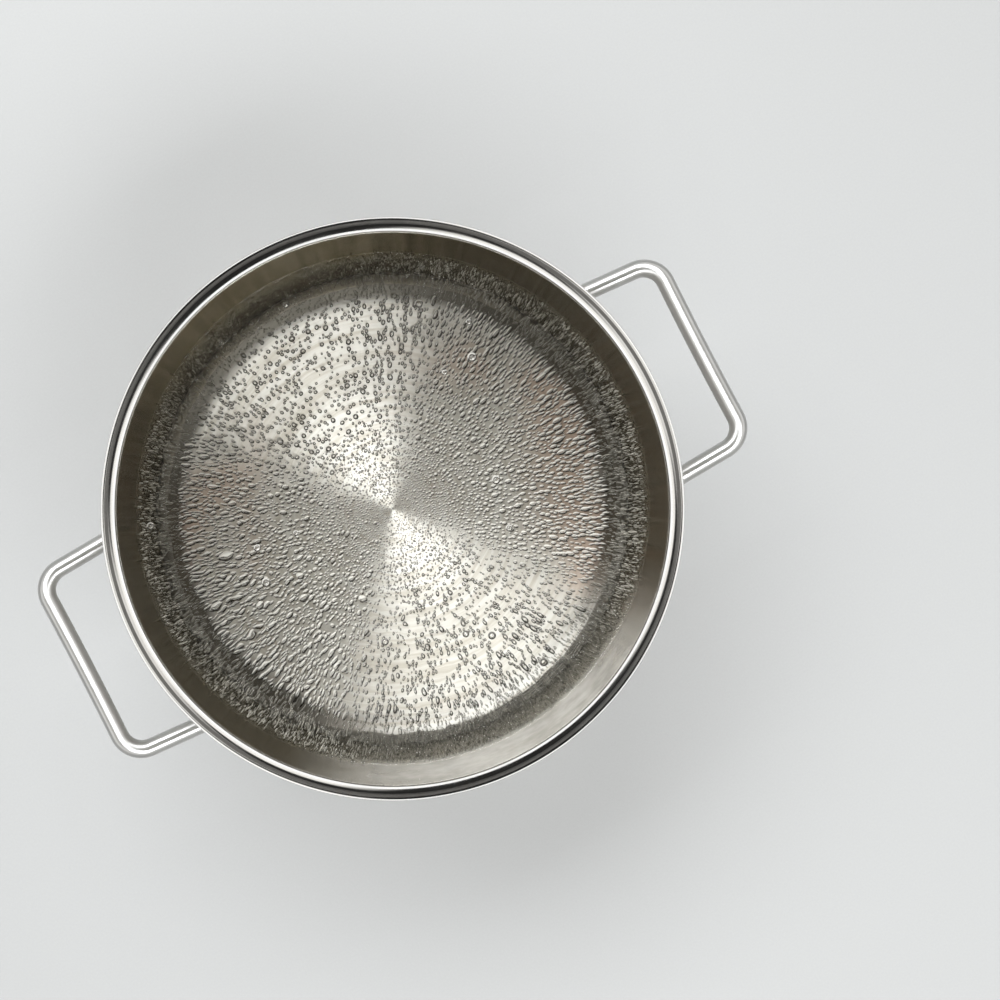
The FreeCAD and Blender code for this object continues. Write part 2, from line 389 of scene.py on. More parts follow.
def weld_bead(side, end):
    """Rippled fillet of weld metal around the foot of one leg."""
    ripples, around, profile = 26, 416, 12
    sunk_in = 0.1 * MM
    sign = ENDS[end]
    leg = np.array((
        math.cos(TAPER) * math.cos(TILT), -sign * math.sin(TAPER), math.cos(TAPER) * math.sin(TILT),
    ))
    foot = np.array((ROD_END_X, sign * HANDLE_SPREAD / 2, ROD_END_HEIGHT))
    first = np.cross(leg, (0.0, 0.0, 1.0))
    first /= np.linalg.norm(first)
    second = np.cross(leg, first)
    rings = []
    for j in range(around):
        t = 2 * math.pi * j / around
        outward = math.cos(t) * first + math.sin(t) * second
        wander = 0.05 * math.sin(3 * t + sign) + 0.04 * math.sin(7 * t)
        ring = []
        for i in range(profile + 1):
            w = math.pi / 2 * i / profile
            scallop = abs(math.sin(ripples / 2 * t + 0.9 * math.sin(w) ** 2))
            size = WELD_SIZE * (0.9 + wander + 0.12 * (scallop - 0.6) * math.sin(2 * w))
            base = onto_plate(foot + outward * (ROD_RADIUS + size * math.sin(w)), leg)
            ring.append(base + leg * size * math.cos(w))
        sunk = onto_plate(foot + outward * (ROD_RADIUS - sunk_in), leg)
        ring.append(sunk - leg * sunk_in)
        rings.append(ring)
    count = len(rings[0])
    vertices = [point for ring in rings for point in ring]
    faces = []
    for j in range(around):
        k = (j + 1) % around
        for i in range(count):
            n = (i + 1) % count
            faces.append((j * count + i, k * count + i, k * count + n, j * count + n))
    bead = new_piece(f"rippled_weld_{side}_{end}", vertices, faces)
    turned_about_axis(bead, SIDES[side])
    bead.data.materials.append(weld_steel())
    return finished(bead, f"weld_bead_{side}_{end}")


# Materials


class Nodes:
    """A node tree, built with short calls."""

    def __init__(self, tree):
        self.nodes, self.links = tree.nodes, tree.links

    def add(self, kind, inputs=None, **settings):
        """New node; inputs are by socket name or number."""
        node = self.nodes.new(kind)
        for key, value in settings.items():
            setattr(node, key, value)
        for key, value in (inputs or {}).items():
            self.put(node.inputs[key], value)
        return node

    def put(self, socket, value):
        """Links a socket to the value's output, or sets it where the value is plain."""
        if isinstance(value, bpy.types.NodeSocket):
            self.links.new(value, socket)
        else:
            socket.default_value = value

    def math(self, operation, *values):
        """Result of arithmetic on one to three numbers."""
        node = self.add("ShaderNodeMath", dict(enumerate(values)), operation=operation)
        return node.outputs[0]

    def vector(self, operation, *values):
        """Result of arithmetic on vectors: a number for a length or a distance."""
        node = self.add("ShaderNodeVectorMath", dict(enumerate(values)), operation=operation)
        return node.outputs["Value" if operation in ("LENGTH", "DISTANCE") else "Vector"]

    def split(self, vector):
        """The three parts of a vector."""
        return self.add("ShaderNodeSeparateXYZ", {0: vector}).outputs

    def join(self, x, y, z):
        """A vector of three numbers."""
        return self.add("ShaderNodeCombineXYZ", {0: x, 1: y, 2: z}).outputs[0]

    def noise(self, vector, scale, detail=3.0, roughness=0.5):
        """Cloudy values around 0.5; scale is in features per metre, or per unit of vector."""
        inputs = {"Vector": vector, "Scale": scale, "Detail": detail, "Roughness": roughness}
        return self.add("ShaderNodeTexNoise", inputs).outputs[0]

    def ramp(self, value, low, high, bottom=0.0, top=1.0):
        """value from low to high becomes bottom to top, smoothly and clamped."""
        inputs = {"Value": value, 1: low, 2: high, 3: bottom, 4: top}
        node = self.add("ShaderNodeMapRange", inputs, interpolation_type="SMOOTHSTEP")
        return node.outputs[0]

    def mix(self, factor, a, b):
        """Colour a where factor is 0, b where it is 1."""
        node = self.add("ShaderNodeMix", data_type="RGBA")
        for socket, value in zip((0, 6, 7), (factor, a, b)):
            if isinstance(value, tuple):
                value = (*value, 1.0)
            self.put(node.inputs[socket], value)
        return node.outputs[2]

    def bump(self, height, distance):
        """Normal of a relief; a height of 1 stands distance proud, in metres."""
        inputs = {"Height": height, "Distance": distance, "Strength": 1.0}
        return self.add("ShaderNodeBump", inputs).outputs[0]


class Surface(Nodes):
    """One material, with the patterns that steel parts share.  Positions are the pot's own."""

    def __init__(self, name):
        self.material = bpy.data.materials.new(name)
        self.material.use_nodes = True
        super().__init__(self.material.node_tree)
        self.shader = self.nodes["Principled BSDF"]
        self.place = self.add("ShaderNodeTexCoord").outputs["Object"]

    def set(self, **inputs):
        """Shader inputs, named with _ for a space."""
        for key, value in inputs.items():
            self.put(self.shader.inputs[key.replace("_", " ")], value)

    def polar(self):
        """Radius, and a unit vector that points away from the pot's axis."""
        x, y, _ = self.split(self.place)
        flat = self.join(x, y, 0.0)
        return self.vector("LENGTH", flat), self.vector("NORMALIZE", flat)

    def around(self):
        """Direction around the pot's axis, along which spun steel is brushed."""
        x, y, _ = self.split(self.place)
        return self.vector("NORMALIZE", self.join(self.math("MULTIPLY", y, -1.0), x, 0.0))

    def spun(self, pitch, arc=3.0):
        """Fine lines around the axis: long along a circle, pitch apart across it."""
        _, _, z = self.split(self.place)
        radius, away = self.polar()
        x, y, _ = self.split(away)
        across = self.math("ADD", radius, self.math("MULTIPLY", z, 0.73))
        lines = self.join(
            self.math("MULTIPLY", x, arc),
            self.math("MULTIPLY", y, arc),
            self.math("DIVIDE", across, pitch),
        )
        return self.noise(lines, 1.0, detail=4.0, roughness=0.65)

    def scratches(self, angle, pitch, length, threshold):
        """Sparse straight hairlines across the floor, at one angle."""
        x, y, z = self.split(self.place)
        c, s = math.cos(angle), math.sin(angle)
        along = self.math("ADD", self.math("MULTIPLY", x, c), self.math("MULTIPLY", y, s))
        across = self.math("SUBTRACT", self.math("MULTIPLY", y, c), self.math("MULTIPLY", x, s))
        where = self.join(
            self.math("DIVIDE", along, length), self.math("DIVIDE", across, pitch), z
        )
        return self.ramp(self.noise(where, 1.0, detail=1.0), threshold, threshold + 0.05)

    def see_through(self, clear_when, body, share=1.0):
        """Lets a share of the light straight through, for some kinds of ray, past the body."""
        tint = self.join(share, share, share)
        clear = self.add("ShaderNodeBsdfTransparent", {"Color": tint}).outputs[0]
        mixed = self.add("ShaderNodeMixShader", {0: clear_when, 1: body, 2: clear}).outputs[0]
        self.put(self.nodes["Material Output"].inputs["Surface"], mixed)


# Steel colours, bright to dark
STEEL_BRIGHT, STEEL, STEEL_DARK = (0.70, 0.69, 0.67), (0.66, 0.645, 0.605), (0.50, 0.465, 0.405)
# The rim's bright steel is a painted highlight
RIM_BRIGHT_PAINTED_HIGHLIGHT, RIM_DULL_PAINTED_HIGHLIGHT = (0.86, 0.855, 0.84), (0.76, 0.755, 0.74)
# The lip's dark steel is painted shade
LIP_BRIGHT_PAINTED_SHADE, LIP_DULL_PAINTED_SHADE = (0.34, 0.335, 0.325), (0.14, 0.137, 0.13)
ROD_BRIGHT, ROD_DULL = (0.58, 0.575, 0.56), (0.46, 0.455, 0.44)
# The wall's steel: a darker copy of the same sheet's steel, as painted shade
WALL_BRIGHT_PAINTED_SHADE, WALL_DULL_PAINTED_SHADE = (0.52, 0.50, 0.457), (0.44, 0.42, 0.375)
# Painted shade for the round corner between floor and wall
CORNER_PAINTED_SHADE = (0.06, 0.054, 0.042)

# What heat and water leave on it.  On the floor the heat tint is also a painted reflection; on the
# wall the stain is also painted shade and the dried water painted light
HEAT_TINT_AND_PAINTED_REFLECTION, STRAW, BLUE = (0.55, 0.43, 0.35), (0.55, 0.41, 0.24), (0.30, 0.32, 0.45)
# Water stain and dried water, put on opposite sides of the wall as painted shade and painted light
WATER_STAIN_AND_PAINTED_SHADE, DRIED_WATER_AND_PAINTED_LIGHT = (0.20, 0.17, 0.12), (0.83, 0.81, 0.76)


@cache
def floor_steel():
    """Circular brushing with utensil scratches, heat tint near the handles that is also a painted
    reflection, and painted shade in the corner, lighter towards -Y.
    """
    s = Surface("steel_spun_floor")
    radius, away = s.polar()
    x, y, _ = s.split(away)
    fine, coarse = s.spun(0.45 * MM), s.spun(2.2 * MM, arc=1.5)
    # Heat tint towards the handles, which also paints warm reflections of the surroundings
    tint = s.ramp(s.noise(s.place, 16.0, detail=2.0), 0.44, 0.66)
    tint = s.math("MULTIPLY", tint, s.ramp(radius, 55 * MM, 95 * MM, 0.0, 0.9))
    tint = s.math("MULTIPLY", tint, s.ramp(s.math("ABSOLUTE", x), 0.35, 0.8))
    colour = s.mix(s.ramp(coarse, 0.35, 0.7), STEEL, STEEL_DARK)
    colour = s.mix(tint, colour, HEAT_TINT_AND_PAINTED_REFLECTION)
    # Painted shade: the corner darkens, less towards -Y, where the key's reflection shows
    flat, fade = INNER_RADIUS - FLOOR_CORNER, 4 * MM
    edge = s.ramp(radius, flat - fade, flat + fade, 0.0, 0.94)
    edge = s.math("MULTIPLY", edge, s.ramp(y, -1.0, -0.6, 0.25, 1.0))
    colour = s.mix(edge, colour, CORNER_PAINTED_SHADE)
    marks = s.scratches(0.9, 0.35 * MM, 30 * MM, 0.68)
    for angle in (-0.5, 2.1):
        marks = s.math("MAXIMUM", marks, s.scratches(angle, 0.4 * MM, 22 * MM, 0.7))
    rough = s.math("ADD", s.ramp(fine, 0.3, 0.7, 0.42, 0.52), s.math("MULTIPLY", marks, -0.12))
    height = s.math("SUBTRACT", fine, s.math("MULTIPLY", marks, 1.5))
    s.set(
        Base_Color=colour, Metallic=1.0, Roughness=rough, Anisotropic=0.91,
        Anisotropic_Rotation=0.25, Tangent=s.around(), Normal=s.bump(height, 0.012 * MM),
    )
    return s.material


@cache
def wall_steel():
    """Satin wall with faint spun lines and runs, in a darker copy of the floor's steel as painted
    shade; a brown stain paints shade on one side, dried water paints light on the other, and
    the corner has painted shade.

    Seen at a flat angle it mirrors little, which is the specular tint, also painted shade.
    """
    s = Surface("steel_satin_wall_painted_light_and_shade")
    _, _, z = s.split(s.place)
    _, away = s.polar()
    x, y, _ = s.split(away)
    lines = s.spun(0.6 * MM)
    runs = s.noise(s.vector("MULTIPLY", s.join(x, y, z), (26.0, 26.0, 9.0)), 1.0)
    blotches = s.noise(s.place, 55.0, detail=6.0, roughness=0.6)
    colour = s.mix(s.ramp(runs, 0.3, 0.75), WALL_BRIGHT_PAINTED_SHADE, WALL_DULL_PAINTED_SHADE)
    rough = s.math("ADD", s.ramp(lines, 0.3, 0.7, 0.14, 0.2), s.ramp(runs, 0.4, 0.75, 0.0, 0.08))
    # Painted shade in the round corner, lighter towards -Y
    corner = s.ramp(z, FLOOR_TOP + 0.6 * FLOOR_CORNER, FLOOR_TOP + 1.6 * FLOOR_CORNER, 1.0, 0.0)
    corner = s.math("MULTIPLY", corner, s.ramp(y, -1.0, -0.6, 0.5, 0.75))
    colour = s.mix(corner, colour, CORNER_PAINTED_SHADE)
    rough = s.math("ADD", rough, s.math("MULTIPLY", corner, 0.2))
    # Brown stain on the +Y side, which paints shade there
    stain = s.ramp(y, 0.3, 0.95, 0.0, 0.55)
    stain = s.math("MULTIPLY", stain, s.ramp(blotches, 0.35, 0.65, 1.0, 0.55))
    colour = s.mix(stain, colour, WATER_STAIN_AND_PAINTED_SHADE)
    # Dried water near the waterline, kept to the -Y side, which paints light there
    dried_film_and_painted_light = s.ramp(y, -1.0, -0.6, 0.68, 0.0)
    dried_film_and_painted_light = s.math("MULTIPLY", dried_film_and_painted_light, s.ramp(blotches, 0.3, 0.7, 0.72, 1.0))
    dried_film_and_painted_light = s.math("MULTIPLY", dried_film_and_painted_light, s.ramp(z, WATER_TOP - 26 * MM, WATER_TOP + 2 * MM, 0.2, 1.0))
    colour = s.mix(dried_film_and_painted_light, colour, DRIED_WATER_AND_PAINTED_LIGHT)
    # Painted shade: the dark specular tint keeps the wall from mirroring at a flat angle
    s.set(
        Base_Color=colour, Metallic=s.math("SUBTRACT", 1.0, dried_film_and_painted_light), Roughness=rough,
        Specular_Tint=(0.26, 0.24, 0.20, 1.0), Anisotropic=0.45, Anisotropic_Rotation=0.25,
        Tangent=s.around(), Normal=s.bump(lines, 0.006 * MM),
    )
    return s.material


@cache
def rim_steel():
    """Polished flare of the rim, in a brighter copy of the steel as a painted highlight."""
    s = Surface("steel_polished_rim_painted_highlight")
    lines = s.spun(0.3 * MM, arc=8.0)
    smear = s.noise(s.place, 60.0)
    s.set(
        Base_Color=s.mix(smear, RIM_BRIGHT_PAINTED_HIGHLIGHT, RIM_DULL_PAINTED_HIGHLIGHT), Metallic=1.0,
        Roughness=s.ramp(smear, 0.3, 0.75, 0.1, 0.17), Normal=s.bump(lines, 0.002 * MM),
    )
    return s.material


@cache
def lip_steel():
    """Satin lip outside the flare, with short brushed strokes, in a dark copy of the steel as painted
    shade.
    """
    s = Surface("steel_satin_lip_painted_shade")
    lines = s.spun(0.22 * MM, arc=22.0)
    s.set(
        Base_Color=s.mix(lines, LIP_BRIGHT_PAINTED_SHADE, LIP_DULL_PAINTED_SHADE), Metallic=1.0,
        Roughness=s.ramp(lines, 0.3, 0.7, 0.25, 0.4), Anisotropic=0.5,
        Anisotropic_Rotation=0.25, Tangent=s.around(), Normal=s.bump(lines, 0.006 * MM),
    )
    return s.material


@cache
def outside_steel():
    """Fine brushed outside with handling smears, and heat tint low down."""
    s = Surface("steel_brushed_outside")
    _, _, z = s.split(s.place)
    lines = s.spun(0.35 * MM, arc=6.0)
    smear = s.noise(s.place, 22.0, detail=5.0, roughness=0.6)
    tint = s.math("MULTIPLY", s.ramp(z, 6 * MM, 30 * MM, 0.6, 0.0), s.ramp(smear, 0.4, 0.65))
    colour = s.mix(tint, s.mix(lines, STEEL_BRIGHT, STEEL), HEAT_TINT_AND_PAINTED_REFLECTION)
    rough = s.math("ADD", s.ramp(lines, 0.3, 0.7, 0.30, 0.36), s.ramp(smear, 0.45, 0.7, 0.0, 0.05))
    s.set(
        Base_Color=colour, Metallic=1.0, Roughness=rough, Anisotropic=0.9,
        Anisotropic_Rotation=0.25, Tangent=s.around(), Normal=s.bump(lines, 0.003 * MM),
    )
    return s.material


@cache
def cap_steel():
    """Spun underside, scuffed where the pot is slid, with brown heat marks."""
    s = Surface("steel_spun_cap")
    radius, _ = s.polar()
    lines, bands = s.spun(0.4 * MM), s.spun(5 * MM, arc=0.6)
    stain = s.noise(s.place, 26.0, detail=5.0, roughness=0.62)
    tint = s.math("MULTIPLY", s.ramp(stain, 0.5, 0.72), s.ramp(radius, 30 * MM, 100 * MM, 0.25, 0.9))
    colour = s.mix(tint, s.mix(s.ramp(bands, 0.35, 0.65), STEEL, STEEL_DARK), HEAT_TINT_AND_PAINTED_REFLECTION)
    marks = s.scratches(0.3, 0.5 * MM, 40 * MM, 0.66)
    for angle in (1.2, 2.4):
        marks = s.math("MAXIMUM", marks, s.scratches(angle, 0.4 * MM, 25 * MM, 0.68))
    rough = s.math("ADD", s.ramp(lines, 0.3, 0.7, 0.26, 0.4), s.math("MULTIPLY", marks, 0.15))
    height = s.math("SUBTRACT", lines, s.math("MULTIPLY", marks, 2.0))
    s.set(
        Base_Color=colour, Metallic=1.0, Roughness=rough, Anisotropic=0.75,
        Anisotropic_Rotation=0.25, Tangent=s.around(), Normal=s.bump(height, 0.012 * MM),
    )
    return s.material


@cache
def rod_steel():
    """Bar with fine grinding lines around it, rubbed smoother on the grip."""
    s = Surface("steel_ground_rod")
    along = s.add("ShaderNodeAttribute", attribute_name=ROD_ALONG)
    grain = s.noise(s.math("DIVIDE", along.outputs["Fac"], 0.3 * MM), 1.0, detail=4.0)
    smear = s.noise(s.place, 70.0)
    x, _, _ = s.split(s.place)
    foot = s.ramp(s.math("ABSOLUTE", x), ROD_END_X, ROD_END_X + 12 * MM, 1.0, 0.0)
    colour = s.mix(s.math("MULTIPLY", foot, 0.5), s.mix(smear, ROD_BRIGHT, ROD_DULL), HEAT_TINT_AND_PAINTED_REFLECTION)
    rough = s.math("ADD", s.ramp(grain, 0.3, 0.7, 0.32, 0.38), s.ramp(smear, 0.4, 0.8, 0.0, 0.02))
    s.set(
        Base_Color=colour, Metallic=1.0, Roughness=rough, Anisotropic=0.94,
        Tangent=s.add("ShaderNodeAttribute", attribute_name=ROD_DIRECTION).outputs["Vector"],
        Normal=s.bump(grain, 0.004 * MM),
    )
    return s.material


@cache
def plate_steel():
    """Satin plate with vertical grain and heat tint round the weld."""
    s = Surface("steel_satin_plate")
    grain = s.noise(s.vector("MULTIPLY", s.place, (5000.0, 5000.0, 250.0)), 1.0)
    x, y, z = s.split(s.place)
    mirrored = s.join(s.math("ABSOLUTE", x), s.math("ABSOLUTE", y), z)
    foot = (ROD_END_X, HANDLE_SPREAD / 2, ROD_END_HEIGHT)
    away = s.vector("DISTANCE", mirrored, foot)
    uneven = s.math("ADD", away, s.ramp(s.noise(s.place, 300.0), 0.2, 0.8, -0.8 * MM, 0.8 * MM))
    straw = s.ramp(uneven, 6.5 * MM, 9.5 * MM, 0.75, 0.0)
    blue = s.ramp(uneven, 5.4 * MM, 6.8 * MM, 0.6, 0.0)
    colour = s.mix(straw, s.mix(grain, STEEL_BRIGHT, STEEL), STRAW)
    colour = s.mix(blue, colour, BLUE)
    s.set(
        Base_Color=colour, Metallic=1.0, Roughness=s.ramp(grain, 0.3, 0.7, 0.26, 0.32),
        Normal=s.bump(grain, 0.0008 * MM),
    )
    return s.material


@cache
def weld_steel():
    """Weld metal: duller, straw and blue between its ripples."""
    s = Surface("steel_weld_bead")
    patch = s.noise(s.place, 420.0, detail=3.0)
    grit = s.noise(s.place, 2600.0, detail=2.0)
    colour = s.mix(s.ramp(patch, 0.35, 0.65), (0.58, 0.50, 0.38), (0.36, 0.37, 0.44))
    s.set(
        Base_Color=colour, Metallic=1.0, Roughness=s.ramp(grit, 0.3, 0.7, 0.24, 0.42),
        Normal=s.bump(grit, 0.01 * MM),
    )
    return s.material


@cache
def spreader_aluminium():
    """Mill-finish aluminium with rolling lines."""
    s = Surface("aluminium_mill_finish")
    rolled = s.noise(s.vector("MULTIPLY", s.place, (20.0, 1400.0, 400.0)), 1.0, detail=4.0)
    colour = s.mix(rolled, (0.80, 0.80, 0.81), (0.64, 0.64, 0.66))
    s.set(
        Base_Color=colour, Metallic=1.0, Roughness=s.ramp(rolled, 0.3, 0.7, 0.3, 0.5),
        Normal=s.bump(rolled, 0.01 * MM),
    )
    return s.material


@cache
def studio_paper():
    """Pale, matt paper that glows where it curves up, and is clear from below."""
    s = Surface("studio_paper")
    _, _, z = s.split(s.place)
    fibre = s.noise(s.place, 900.0, detail=4.0)
    s.set(
        Base_Color=s.mix(fibre, (0.35, 0.35, 0.345), (0.32, 0.32, 0.315)),
        Roughness=0.8, Normal=s.bump(fibre, 0.02 * MM),
        Emission_Color=(1.0, 1.0, 1.0, 1.0), Emission_Strength=s.ramp(z, 0.15, 0.8, 0.0, 1.0),
    )
    below = s.add("ShaderNodeNewGeometry").outputs["Backfacing"]
    s.see_through(below, s.shader.outputs[0])
    return s.material


def finish_cad_nodes():
    """The CAD meshes that stay get their finished materials."""
    for name, node in NODES.items():
        if name.startswith("handle_plate"):
            node.data.materials[0] = plate_steel()
        elif name == "heat_spreader_disc":
            node.data.materials[0] = spreader_aluminium()


# Studio

HANDLE_TURN = math.radians(27.4)  # the right handle points this far up in the picture
CAMERA_ABOVE_RIM = 0.600
LENS, SENSOR = 50.0, 36.0
POT_LEFT, POT_LOW = 0.1074, 0.0088  # of the picture's width, from its middle to the pot's

# Lamps stand across the handles' line; angles from +X and above the horizon, in degrees
KEY_ANGLE = 92.0
LAMP_DISTANCE = 1.5
LAMP_COLOUR = (0.95, 0.975, 1.0)
SKY_LIGHT, BAND_LIGHT, RING_LIGHT = 0.02, 0.82, 1.1
SKY_COLOUR = (1.0, 0.98, 0.94)


def camera():
    """Straight above the pot's middle; the lens shift puts the pot left of the picture's."""
    data = bpy.data.cameras.new("camera")
    data.lens, data.sensor_width = LENS, SENSOR
    data.shift_x, data.shift_y = POT_LEFT, POT_LOW
    data.clip_start, data.clip_end = 10 * MM, 20.0
    eye = bpy.data.objects.new("camera", data)
    bpy.context.scene.collection.objects.link(eye)
    eye.location = (0.0, 0.0, RIM_TOP + CAMERA_ABOVE_RIM)
    eye.rotation_euler = (0.0, 0.0, -HANDLE_TURN)
    bpy.context.scene.camera = eye


def softbox(name, angle, height, distance, size, power, colour=(1.0, 1.0, 1.0)):
    """Rectangular area light that faces the pot.

    angle is about the pot's axis from +X, height is above the horizon, both in degrees,
    size is across and up, as the pot sees it, and power is in watts.
    """
    data = bpy.data.lights.new(name, "AREA")
    data.shape, data.size, data.size_y = "RECTANGLE", size[0], size[1]
    data.energy, data.color = power, colour
    lamp = bpy.data.objects.new(name, data)
    turn, rise = math.radians(angle), math.radians(height)
    back = Vector((math.cos(turn) * math.cos(rise), math.sin(turn) * math.cos(rise), math.sin(rise)))
    across = Vector((-math.sin(turn), math.cos(turn), 0.0))
    basis = Matrix((across, back.cross(across), back)).transposed()
    target = Vector((0.0, 0.0, RIM_TOP / 2))
    lamp.matrix_world = Matrix.Translation(target + back * distance) @ basis.to_4x4()
    lamp.visible_camera = False
    bpy.context.scene.collection.objects.link(lamp)
    return lamp


def keep_off(lamp, piece):
    """This lamp neither lights the piece nor shows in it."""
    lit = bpy.data.collections.new(f"{lamp.name}_lights")
    lit.objects.link(piece)
    lit.collection_objects[0].light_linking.link_state = "EXCLUDE"
    lamp.light_linking.receiver_collection = lit


def show_only(lamp, piece, clear):
    """This lamp lights nothing but the piece, right through what is clear to it."""
    lit, blocks = (bpy.data.collections.new(f"{lamp.name}_{use}") for use in ("lights", "blocked"))
    lit.objects.link(piece)
    blocks.objects.link(clear)
    blocks.collection_objects[0].light_linking.link_state = "EXCLUDE"
    lamp.light_linking.receiver_collection = lit
    lamp.light_linking.blocker_collection = blocks


def backdrop():
    """Pale paper: flat just under the pot, curving up far away on every side."""
    flat, bend, height, gap = 1.5, 0.7, 0.9, 0.05 * MM
    outline, _ = walk((0.0, -gap), 0.0, [
        ("line", flat, 30), ("arc", bend, math.radians(90.0), 24), ("line", height, 6),
    ])
    paper = lathe("studio_paper", outline, [0] * (len(outline) - 1))
    paper.data.materials.append(studio_paper())
    return paper


def sky():
    """Nearly dark, but for a dim band overhead, along the handles, that widens at its ends."""
    world = bpy.data.worlds.new("sky")
    world.use_nodes = True
    s = Nodes(world.node_tree)
    x, y, z = s.split(s.add("ShaderNodeTexCoord").outputs["Generated"])
    band = s.ramp(s.math("ABSOLUTE", y), 0.10, 0.24, BAND_LIGHT, 0.0)
    ring = s.math("MULTIPLY", s.ramp(z, 0.78, 0.70), s.ramp(s.math("ABSOLUTE", x), 0.3, 0.55))
    light = s.math("MAXIMUM", band, s.math("MULTIPLY", ring, RING_LIGHT))
    light = s.math("ADD", s.math("MULTIPLY", light, s.ramp(z, 0.3, 0.6)), SKY_LIGHT)
    warm = [s.math("MULTIPLY", light, part) for part in SKY_COLOUR]
    s.put(s.nodes["Background"].inputs["Color"], s.join(*warm))
    bpy.context.scene.world = world


def studio(rim, cap):
    """Two soft boxes that the rim doesn't see, one from below for the cap, sky and paper."""
    paper = backdrop()
    key = softbox("key", KEY_ANGLE, 54.0, LAMP_DISTANCE, (1.3, 0.7), 30.0, LAMP_COLOUR)
    opposite = KEY_ANGLE - 180.0
    counter = softbox("counter", opposite, 52.0, LAMP_DISTANCE, (1.25, 0.6), 24.0, LAMP_COLOUR)
    for lamp in (key, counter):
        keep_off(lamp, rim)
    show_only(softbox("cap_light", 20.0, -62.0, 1.2, (1.6, 0.9), 20.0), cap, paper)
    sky()
    bpy.context.scene.view_settings.view_transform = "Standard"


# Simmering water, which is staged, so it isn't part of the pot

WATER_TOP = FLOOR_TOP + 91.0 * MM
WATER_IOR = 1.333
WATER_COLOUR = (0.96, 0.96, 0.94, 1.0)
SEED = 11
RESTS = 0.92  # how far above the floor a bubble's middle is, in its radii


def wavelets(x, y, waves):
    """Height of a sum of sine waves, each (kx, ky, phase, height)."""
    total = np.zeros_like(x)
    for kx, ky, phase, height in waves:
        total += height * np.sin(kx * x + ky * y + phase)
    return total


def water_surface():
    """Simmering surface: small crossing ripples and a meniscus at the wall."""
    rng = np.random.default_rng(SEED)
    waves, steepness = [], 0.0012
    for _ in range(60):
        length, turn = rng.uniform(4 * MM, 16 * MM), rng.uniform(0, 2 * math.pi)
        k = 2 * math.pi / length
        phase = rng.uniform(0, 2 * math.pi)
        waves.append((k * math.cos(turn), k * math.sin(turn), phase, steepness * length))
    edge = INNER_RADIUS - 0.05 * MM
    radii = list(np.linspace(0.0, edge - 4 * MM, 170)) + list(edge - np.linspace(3.6, 0.0, 14) * MM)
    outline = [(r, 0.0) for r in radii]
    surface = lathe("water_surface", outline, [0] * (len(outline) - 1))
    place = np.array([v.co for v in surface.data.vertices])
    x, y = place[:, 0], place[:, 1]
    calm = 0.5 + 0.5 * np.tanh(3.0 * (x + 0.3 * y) / INNER_RADIUS + 1.2)
    rise = 0.9 * MM * np.exp((np.hypot(x, y) - edge) / (1.1 * MM))
    place[:, 2] = WATER_TOP + wavelets(x, y, waves) * (1.0 - 0.75 * calm) + rise
    surface.data.vertices.foreach_set("co", place.ravel())
    surface.data.update()
    surface.data.materials.append(water())


def ball(subdivisions):
    """Corners and triangles of a unit ball."""
    shape = bmesh.new()
    bmesh.ops.create_icosphere(shape, subdivisions=subdivisions, radius=1.0)
    corners = np.array([v.co for v in shape.verts])
    faces = np.array([[v.index for v in f.verts] for f in shape.faces])
    shape.free()
    return corners, faces


def scattered(rng, count, draw, spacing):
    """Bubbles drawn at random that keep clear of each other: (point, radius) pairs."""
    cell = 4 * MM
    taken, kept = {}, []
    for _ in range(count):
        point, radius = draw(rng)
        key = tuple(int(math.floor(c / cell)) for c in point)
        near = (
            other
            for dx in (-1, 0, 1) for dy in (-1, 0, 1) for dz in (-1, 0, 1)
            for other in taken.get((key[0] + dx, key[1] + dy, key[2] + dz), ())
        )
        if any(math.dist(point, p) < spacing * (radius + r) for p, r in near):
            continue
        taken.setdefault(key, []).append((point, radius))
        kept.append((point, radius))
    return kept


def on_floor(rng):
    """A bubble on the floor: larger outwards, and fewer where the lamps' light falls."""
    far = (INNER_RADIUS - FLOOR_CORNER + 2 * MM) * math.sqrt(rng.uniform(0.0, 1.0))
    if rng.uniform() < 0.25:
        far *= rng.uniform(0.1, 0.7)
    turn = rng.uniform(0, 2 * math.pi)
    if abs(math.sin(turn)) > 0.75 and rng.uniform() < 0.55:
        turn += math.pi / 2
    grown = min(far / (50 * MM), 1.0)
    radius = (0.25 + 0.55 * grown) * MM * rng.lognormal(0.0, 0.3)
    if math.sin(turn) < -0.7:
        radius *= 0.75
    return (far * math.cos(turn), far * math.sin(turn), FLOOR_TOP + radius * RESTS), radius


def in_the_middle(rng):
    """One of the tiny bubbles that crowd together near the pot's axis."""
    far, turn = 46 * MM * math.sqrt(rng.uniform(0.0, 1.0)), rng.uniform(0, 2 * math.pi)
    radius = 0.25 * MM * rng.lognormal(0.0, 0.2)
    return (far * math.cos(turn), far * math.sin(turn), FLOOR_TOP + radius * RESTS), radius


def on_wall(rng):
    """A bubble on the wall under the water."""
    turn = rng.uniform(0, 2 * math.pi)
    height = rng.uniform(FLOOR_TOP + FLOOR_CORNER, WATER_TOP - 2 * MM)
    radius = 0.21 * MM * rng.lognormal(0.0, 0.4)
    far = INNER_RADIUS - radius * 2.9
    return (far * math.cos(turn), far * math.sin(turn), height), radius


def in_the_corner(rng):
    """A bubble on the round corner between floor and wall."""
    turn, rise = rng.uniform(0, 2 * math.pi), rng.uniform(math.radians(8), math.radians(90))
    radius = 0.36 * MM * rng.lognormal(0.0, 0.3)
    arm = FLOOR_CORNER - radius * (RESTS + 1.8 * math.sin(rise))
    far = INNER_RADIUS - FLOOR_CORNER + arm * math.sin(rise)
    height = FLOOR_TOP + FLOOR_CORNER - arm * math.cos(rise)
    return (far * math.cos(turn), far * math.sin(turn), height), radius


